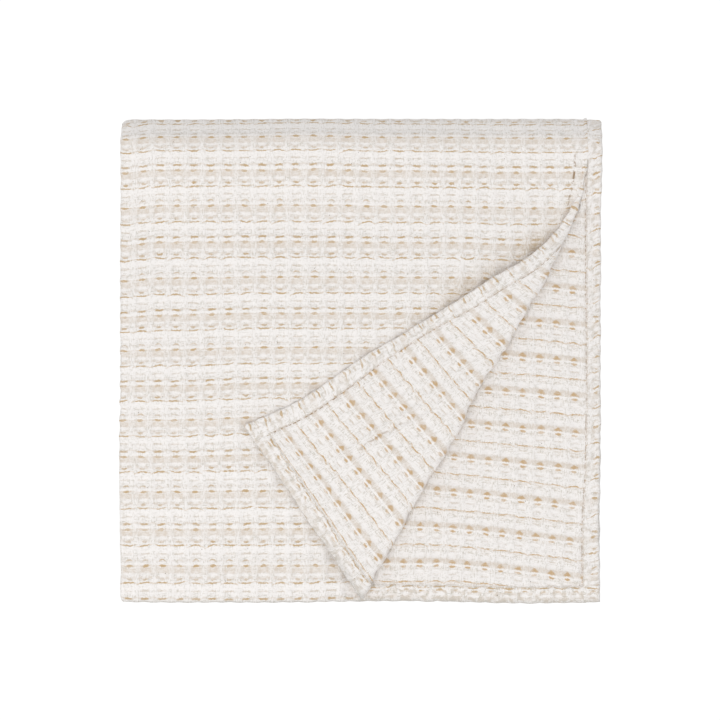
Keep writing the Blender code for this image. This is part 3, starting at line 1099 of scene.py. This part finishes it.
def unevenYarn(dye, flat, across):
    # thick and thin places: weft over the columns and warp between them
    x, y, _ = dye.parts(flat)
    weft = dye.noise(dye.vector(x * 0.30, y), 820.0, roughness=0.65)
    warp = dye.noise(dye.vector(x, y * 0.34), 760.0, roughness=0.65)
    fibre = dye.noise(flat, 1250.0, roughness=0.7)
    warpShare = ((abs(across) - 3.4) * 0.55).clamped()
    yarns = weft + (warp - weft) * warpShare
    grain = ((yarns - 0.5) * 1.7 + (fibre - 0.5) * 1.2 + 0.5).clamped()
    # short grey ticks where a yarn dips under the next one
    lying = dye.noise(dye.vector(x * 0.26 + 3.0, y), 900.0, 1.0)
    standing = dye.noise(dye.vector(x, y * 0.26 + 5.0), 850.0, 1.0)
    ticks = ((lying.most(standing) - 0.61) * 9.0).clamped()
    return grain, ticks, dye.noise(flat, 210.0, 1.0)


# how cotton takes the light
cotton = {"Roughness": 0.92, "Specular IOR Level": 0.2, "Sheen Weight": 0.08, "Sheen Roughness": 0.6}
cottonBump = {"Strength": 0.5, "Distance": 0.0005}


def finish(dye, colour, height):
    bump = dye.node("ShaderNodeBump", {}, {**cottonBump, "Height": height})
    for key, value in {**cotton, "Base Color": colour, "Normal": bump}.items():
        dye.give(dye.shader.inputs[key], value)
    return dye.material


def flecksAndPaintedShade(dye, flat, colour, grain):
    # seed flecks, and painted shade: the dark line in the hem seam, the soft fold and the turned edge, the
    # shade beside the flap and the crease, and the greyer turned edges
    near = dye.node("ShaderNodeTexVoronoi", {"voronoi_dimensions": "2D"},
                    {"Vector": flat, "Scale": 24.0, "Randomness": 1.0})
    fleck = ((0.0105 - near) * 300.0).clamped() * 0.75
    colour = dye.dyed(colour, fleck, "seed")
    # painted shade in the seam and fold lines, broken up
    broken = dye.noise(flat, 260.0)
    thin = ((0.26 - abs(dye.attribute("aside"))) * 7.0).clamped()
    lineShade = ((dye.attribute("lineShade") - 0.20) * 1.25).clamped() * thin
    colour = dye.dyed(colour, lineShade * ((broken - 0.44) * 7.0).clamped() * 0.9, "creviceShade")
    # painted shade beside the flap and the crease
    colour = dye.dyed(colour, dye.attribute("shaded") * (0.05 + grain * 0.95), "shaded")
    # painted shade on the edges
    return dye.dyed(colour, dye.attribute("edge") * (0.25 + grain * 0.6), "edge")


# Plain marks of both faces, charted in millimetres from the middle of a column and down from
# a line row: (aside, down, share of the lean, half width or None for a whole line, half height,
# firmness, strength, how much more by chance, which chance)
faceChart = {
    "pale": (
        (0.0, 6.9, 0.5, 4.7, 0.85, 2.6, 0.22, 0.50, 2),
    ),
    "shade": (
        (4.9, 23.8, 0.0, 0.9, 2.6, 2.2, 0.02, 0.35, 4),
        (0.0, 10.2, 0.0, 4.2, 0.8, 2.2, 0.0, 0.35, 4),
        (0.0, 3.3, 0.0, 4.2, 0.7, 2.2, 0.0, 0.25, 5),
    ),
    "bright": (
        (0.0, 3.6, 0.0, None, 3.4, 0.5, 1.0, 0.0, 0),
        (0.0, 15.4, 0.0, None, 1.7, 0.7, 1.0, 0.0, 0),
        (0.0, 8.8, 0.0, None, 1.9, 0.6, 0.6, 0.0, 0),
    ),
}
backChart = {
    "pale": (
        (0.0, 2.7, 0.5, 4.7, 0.8, 2.2, 0.05, 0.45, 0),
        (0.0, 4.7, 0.5, 4.5, 0.8, 2.2, 0.05, 0.45, 1),
        (0.0, 24.7, 0.5, 4.5, 0.85, 2.2, 0.12, 0.50, 2),
    ),
    "shade": (
        (4.4, 9.0, 0.0, 0.9, 2.4, 2.2, 0.05, 0.42, 5),
        (4.4, 22.5, 0.0, 0.9, 2.2, 2.2, 0.05, 0.42, 3),
        (0.0, 20.6, 0.0, 4.6, 0.7, 2.2, 0.10, 0.30, 0),
        (0.0, 28.2, 0.0, 4.4, 0.8, 2.2, 0.0, 0.40, 4),
    ),
    "light": (
        (0.0, 22.5, 0.0, 4.8, 2.0, 1.6, 0.8, 0.0, 0),
        (0.0, 9.0, 0.0, 4.9, 3.1, 1.6, 0.85, 0.0, 0),
        (0.0, 16.7, 0.4, None, 0.85, 1.8, 0.85, 0.0, 0),
    ),
    "bright": (
        (0.0, 25.6, 0.0, None, 5.4, 0.4, 1.0, 0.0, 0),
        (0.0, 8.6, 0.0, None, 2.8, 0.6, 1.0, 0.0, 0),
        (0.0, 2.6, 0.0, None, 1.8, 0.6, 0.6, 0.0, 0),
    ),
}


def charted(rows, x, down, lean, chances):
    marks = 0.0
    for aside, row, tilt, wide, high, firm, strength, more, which in rows:
        y = down - row + lean * tilt
        mark = strip(y, high, firm) if wide is None else bar(abs(x) - aside, y, wide, high, firm)
        mark = mark * (strength + chances[which] * more)
        marks = mark.most(marks)
    return marks


def startCloth(name, half, seed, leanMiddle, leanShare, bowShare, chart):
    # what both faces have: uneven cells and yarns, and the charted marks
    dye = Dye(name)
    flat, cell, rowNumber, across, down, odd = weavePlaces(dye, half)
    chances = cellChance(dye, cell, rowNumber, seed) + cellChance(dye, cell, rowNumber, seed + 1.0)
    x = across + (chances[2] - 0.5) * 0.9
    lean = x * (chances[0] - leanMiddle) * leanShare
    bow = (chances[1] - 0.5) * bowShare
    marks = [charted(rows, x, down, lean, chances) for rows in chart.values()]
    return dye, flat, x, down, odd, lean, bow, chances, unevenYarn(dye, flat, across), marks


def endCloth(dye, flat, grain, tan, layers):
    colour = yarn["white"]
    for share, name in layers:
        colour = dye.dyed(colour, share, name)
    colour = flecksAndPaintedShade(dye, flat, colour, grain)
    return finish(dye, colour, 1.0 - grain * 0.9 - tan * 0.3)


def outerFace():
    dye, flat, x, down, odd, lean, bow, chances, yarns, marks = startCloth(
        "waffleFace", 0, 1.0, 0.40, 0.26, 0.09, faceChart)
    one, two, three, four, five, six = chances
    grain, ticks, patch = yarns
    pale, shade, bright = marks
    even = 1.0 - odd
    square = x * x
    # the main rows
    dashes = down - 13.2
    dots = down - 17.6 + odd * 0.8
    blocks = down - 20.4

    # tan weft: the wavy line, dashes and dots
    lineY = down + lean + (square - 7.0) * bow
    tan = strip(lineY, 0.80, 1.9) * ((4.9 - abs(x)) * 0.8).clamped().most(0.36) * (0.72 + four * 0.45)
    dashY = dashes + lean * 0.8 + (square - 4.0) * bow * 0.6
    tan = tan.most(bar(x, dashY, 4.0, 1.02, 2.4) * even * (0.60 + five * 0.40))
    archY = down - 11.8 - square * 0.14
    tan = tan.most(bar(x, archY, 3.3, 0.85) * odd * (0.15 + five * 0.50))
    dotY = dots + lean * 0.7 + (square - 3.0) * bow * 0.6
    tan = tan.most(spot(x, dotY, 3.3, 1.30, 1.7) * (0.64 + odd * 0.26) * (0.72 + six * 0.40))
    tan = tan.most(strip(dotY, 0.80) * ((6.4 - abs(x)) * 0.3).clamped() * 0.30)
    smallY = down - 27.8 + lean * 0.8 + square * 0.06
    tan = tan.most(spot(x, smallY, 2.9, 1.10) * (0.78 - odd * 0.30) * (0.45 + four * 0.65))

    # beige weft deep in the cells
    sides = 0.72 + ((abs(x) - 1.4) * 0.4).clamped() * 0.34
    blockY = blocks + (six - 0.5) * 0.6
    beige = bar(x, blockY, 5.7 + two * 1.3, 3.0, 2.2) * sides * (0.34 + one * 0.30 + patch * 0.60)
    beige = beige.most(bar(abs(x) - 4.0, down - 26.3 + lean * 0.6, 2.5, 1.6, 1.8) * (0.30 + six * 0.40))
    beige = beige.most(bar(x, down - 26.6, 4.4, 1.2) * 0.35)
    # an arc round the lower half of each block
    low = down - 22.4
    reach = square * 0.028 + low * low * 0.036
    arc = ((1.0 - abs(reach - 1.0) * 2.6) * 1.2).clamped() * ((down - 19.0) * 0.35).clamped()
    beige = beige.most(arc * (0.04 + three * 0.18))
    chainY = dashes + (abs(x) - 2.2).most(0.0) * 0.27
    beige = beige.most(strip(chainY, 1.15, 1.1) * (0.20 + even * 0.34))
    beige = beige.most(strip(dots, 1.1, 1.2) * 0.42)
    beige = beige.most(strip(blocks, 3.3, 0.7) * (0.10 + patch * 0.45))

    # painted shade on the sides of the white cells, and painted light in their middles
    shade = shade.most(bar(abs(x) - 4.5, down - 8.4, 0.9, 2.0) * ((two - 0.45) * 0.8).clamped())
    light = bar(x, down - 24.0 + (one - 0.5) * 0.3, 4.0, 1.35, 2.0) * 0.85
    light = light.most(strip(down - 29.3 + lean * 0.5, 0.75) * 0.75)

    # the hems are blotchy, and only part of the tan shows on them
    # share of the painted shade on the edges
    edge = dye.attribute("edge")
    hem = dye.attribute("hem")
    rough = (hem - 1.0).clamped()
    hem = hem.least(1.0)
    beige = beige * (1.0 - (edge * 1.2).clamped() * hem) * (1.0 - hem * 0.35 + rough * 0.30)
    tan = tan * (1.0 - hem * ((0.50 - patch) * 5.0).clamped() * 0.6)
    shade = shade.most(hem * ((patch - 0.54) * 7.0).clamped() * 0.8)
    bright = bright.most(hem * ((0.50 - patch) * 7.0).clamped())
    blotch = rough * ((patch - 0.51) * 8.0).clamped()
    # darker mottled yarn along the end hems' edges, placed by the painted edge shade, partly painted shade
    # itself
    fringe = rough * (edge * 1.5).clamped() * ((patch - 0.46) * 9.0).clamped()

    return endCloth(dye, flat, grain, tan, (
        ((grain - 0.46) * 1.9 - bright * 0.40, "shade"),
        (shade * (0.5 + grain), "shade"),
        (ticks * (0.60 - bright * 0.25 + rough * 0.35).clamped(), "tick"),
        (pale * (0.45 + grain * 1.1), "dash"),
        (beige * (0.55 + grain), "beige"),
        (blotch * (0.05 + grain * 0.38), "dash"),
        (fringe * (0.20 + grain * 0.8), "dash"),
        (light * (1.15 - grain * 0.5), "white"),
        (tan * (0.70 + grain * 0.8), "tan"),
    ))


def reverseFace():
    dye, flat, x, down, _, lean, bow, chances, yarns, marks = startCloth(
        "waffleReverse", 1, 5.0, 0.5, 0.20, 0.08, backChart)
    one, two, _, four, five, six = chances
    grain, ticks, patch = yarns
    pale, shade, light, bright = marks
    square = x * x

    # tan weft: the thin line, the hills and the small dots under them
    lineY = down + lean + (square - 7.0) * bow
    tan = strip(lineY, 0.68, 2.2) * ((5.0 - abs(x)) * 0.5).clamped().most(0.42) * (0.85 + four * 0.45)
    crown = 11.5 + (five - 0.5) * 1.0 + square * 3.4 / (square + 6.5 + two * 4.0) + square * 0.04
    foot = ((15.7 + lean * 0.6 - down) * 1.3).clamped()
    hill = (down - crown).clamped() * foot * ((4.0 - abs(x)) * 0.9).clamped()
    heart = 0.62 + (1.0 - square * 0.13).clamped() * 0.38
    tan = tan.most(hill * heart * (0.85 + one * 0.40) * (0.58 + (down - 11.4) * 0.13).clamped())
    dotY = down - 17.9 + lean * 0.6
    tan = tan.most(spot(x, dotY, 3.1, 1.50, 1.4) * (0.55 + six * 0.55))

    # beige weft round them
    middle = ((5.6 - abs(x)) * 0.5).clamped()
    beige = strip(down - 13.2, 3.2, 0.55) * (0.40 + 0.22 * middle + patch * 0.44)
    beige = beige.most(strip(down - 19.7, 1.8, 0.9) * 0.20)
    beige = beige.most(strip(down - 0.8, 1.8, 0.8) * 0.32)

    return endCloth(dye, flat, grain, tan, (
        ((grain - 0.445) * 2.3 - bright * 0.34, "shade"),
        (shade * (0.5 + grain), "shade"),
        (ticks * (0.72 - bright * 0.30), "tick"),
        (pale * (0.45 + grain * 1.1), "dash"),
        (beige * (0.40 + grain * 1.2), "beige"),
        (tan * (0.60 + grain * 0.8), "backTan"),
        (light * (1.15 - grain * 0.5), "white"),
    ))


# the stitching that holds the hems down
stitching = {
    "length": 0.0026,
    "pitch": 0.0034,
    "radius": 0.00022,
    "jitter": 0.0003,
    "sides": 6,
    # rings of a stitch: (place along it, thickness, height), in half lengths and radii
    "rings": ((-1.0, 0.35, -1.0), (-0.7, 0.9, 0.1), (0.0, 1.0, 0.55), (0.7, 0.9, 0.1), (1.0, 0.35, -1.0)),
    "colours": ((0.84, 0.79, 0.72, 1.0), (0.70, 0.63, 0.54, 1.0)),
}


def sewingThread():
    dye = Dye("sewingThread")
    place = dye.node("ShaderNodeTexCoord", {}, {}, 3)
    twist = dye.node("ShaderNodeTexNoise", {}, {"Vector": place, "Scale": 1800.0, "Detail": 2.0})
    return finish(dye, dye.blend(twist, *stitching["colours"]), twist)


def stitchLines():
    # (first point, last point) of each line of stitching, flat: it shows on the hems,
    # and sinks into the weave on the outer face
    line = weave["stitchLine"]
    for sideS in (outerWidth - line, line - innerWidth):
        yield (sideS, line), (sideS, clothLength - line)
    for endV in (line, clothLength - line):
        yield (line - innerWidth, endV), (outerWidth - line, endV)


def makeStitches():
    flatPoints = []
    faces = []
    rings = stitching["rings"]
    sides = stitching["sides"]
    base = 0
    for (s0, v0), (s1, v1) in stitchLines():
        run = math.hypot(s1 - s0, v1 - v0)
        count = int(run / stitching["pitch"])
        alongS, alongV = (s1 - s0) / run, (v1 - v0) / run
        for k in range(count):
            at = (k + 0.5) * run / count
            jitter = stitching["jitter"] * (float(chance(k, s0 * 100.0)) - 0.5)
            for t, size, up in rings:
                reach = at + t * stitching["length"] / 2.0
                for m in range(sides):
                    a = math.tau * m / sides
                    side = stitching["radius"] * size * math.cos(a) + jitter
                    high = stitching["radius"] * (size * math.sin(a) + up)
                    s = s0 + alongS * reach - alongV * side
                    v = v0 + alongV * reach + alongS * side
                    flatPoints.append((s, v, high))
            for q in range(len(rings) - 1):
                for m in range(sides):
                    n = (m + 1) % sides
                    ring = base + q * sides
                    faces.append((ring + m, ring + n, ring + sides + n, ring + sides + m))
            faces.append(tuple(base + m for m in reversed(range(sides))))
            last = base + (len(rings) - 1) * sides
            faces.append(tuple(last + m for m in range(sides)))
            base += len(rings) * sides
    s, v, high = np.array(flatPoints).T
    movedS, movedV = laidOut(s, v)
    bottom = clothFaces(movedS, movedV, *edgeInsets(s, v))[1]
    places = foldCloth(movedS, movedV, bottom - high)
    mesh = bpy.data.meshes.new("hem_stitches")
    mesh.from_pydata(places.tolist(), [], faces)
    mesh.shade_smooth()
    mesh.update()
    return placed("hem_stitches", mesh)


# the studio: camera, lights and ground
studio = {
    "lens": 200.0,
    "sensor": 36.0,
    "frameWidth": 0.612,        # width of ground that the picture takes in
    "look": (0.0, 0.0, 0.012),
    # light from above, from the horizon and from below it
    "sky": ((0.81, 0.81, 0.81, 1.0), (0.76, 0.76, 0.76, 1.0), (0.66, 0.66, 0.66, 1.0)),
    "lamp": ((-0.70, -1.05, 2.1), 1.0, 13.5),
    "groundSize": 6.0,
    "groundGap": 0.0002,        # below the cloth
    "ground": {
        "Base Color": (0.12, 0.12, 0.12, 1.0),
        "Roughness": 0.9,
        "Specular IOR Level": 0.0,
        "Emission Color": (0.94, 0.94, 0.94, 1.0),
        "Emission Strength": 1.0,
    },
}


def makeCamera():
    camera = bpy.data.cameras.new("camera")
    camera.lens = studio["lens"]
    camera.sensor_width = studio["sensor"]
    camera.clip_start = 0.1
    camera.clip_end = 50.0
    holder = placed("camera", camera)
    x, y, z = studio["look"]
    holder.location = (x, y, z + studio["frameWidth"] * studio["lens"] / studio["sensor"])
    bpy.context.scene.camera = holder


def makeLights():
    world = bpy.data.worlds.new("studio")
    world.use_nodes = True
    tree = world.node_tree
    above, level, below = studio["sky"]
    place = tree.nodes.new("ShaderNodeTexCoord")
    height = tree.nodes.new("ShaderNodeSeparateXYZ")
    tree.links.new(place.outputs["Generated"], height.inputs[0])
    mixes = []
    for low, high, first, second in ((0.0, 1.0, level, above), (-0.2, 0.0, below, level)):
        share = tree.nodes.new("ShaderNodeMapRange")
        share.inputs["From Min"].default_value = low
        share.inputs["From Max"].default_value = high
        tree.links.new(height.outputs["Z"], share.inputs["Value"])
        mix = tree.nodes.new("ShaderNodeMix")
        mix.data_type = "RGBA"
        mix.inputs[6].default_value = first
        mix.inputs[7].default_value = second
        tree.links.new(share.outputs["Result"], mix.inputs["Factor"])
        mixes.append(mix)
    tree.links.new(mixes[1].outputs[2], mixes[0].inputs[6])
    tree.links.new(mixes[0].outputs[2], tree.nodes["Background"].inputs["Color"])
    bpy.context.scene.world = world
    place, size, power = studio["lamp"]
    lamp = bpy.data.lights.new("softbox", "AREA")
    lamp.shape = "SQUARE"
    lamp.size = size
    lamp.energy = power
    holder = placed("softbox", lamp)
    holder.location = place
    away = math.hypot(place[0], place[1])
    holder.rotation_euler = (math.atan2(away, place[2]), 0.0, math.atan2(place[0], -place[1]))


def makeGround():
    half = studio["groundSize"] / 2.0
    mesh = bpy.data.meshes.new("ground")
    corners = ((-half, -half), (half, -half), (half, half), (-half, half))
    mesh.from_pydata([(x, y, -studio["groundGap"]) for x, y in corners], [], [(0, 1, 2, 3)])
    mesh.update()
    ground = placed("ground", mesh)
    dye = Dye("paleGround")
    for key, value in studio["ground"].items():
        dye.give(dye.shader.inputs[key], value)
    mesh.materials.append(dye.material)
    # it is seen, and doesn't light the blanket from below
    ground.visible_diffuse = False
    ground.visible_glossy = False


makeCamera()
makeLights()
makeGround()
bpy.context.scene.view_settings.view_transform = "Standard"
print("studio ready")

faceCloth = outerFace()
backCloth = reverseFace()
for name in panels:
    panel, flatSize = makePanel(name)
    panel.data.materials.append(faceCloth)
    panel.data.materials.append(backCloth)
    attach(panel, "root")
    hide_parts("blanket")
    print("woven", name, len(panel.data.polygons))

stitches = makeStitches()
stitches.data.materials.append(sewingThread())
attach(stitches, "root")
print("hems stitched", len(stitches.data.polygons))
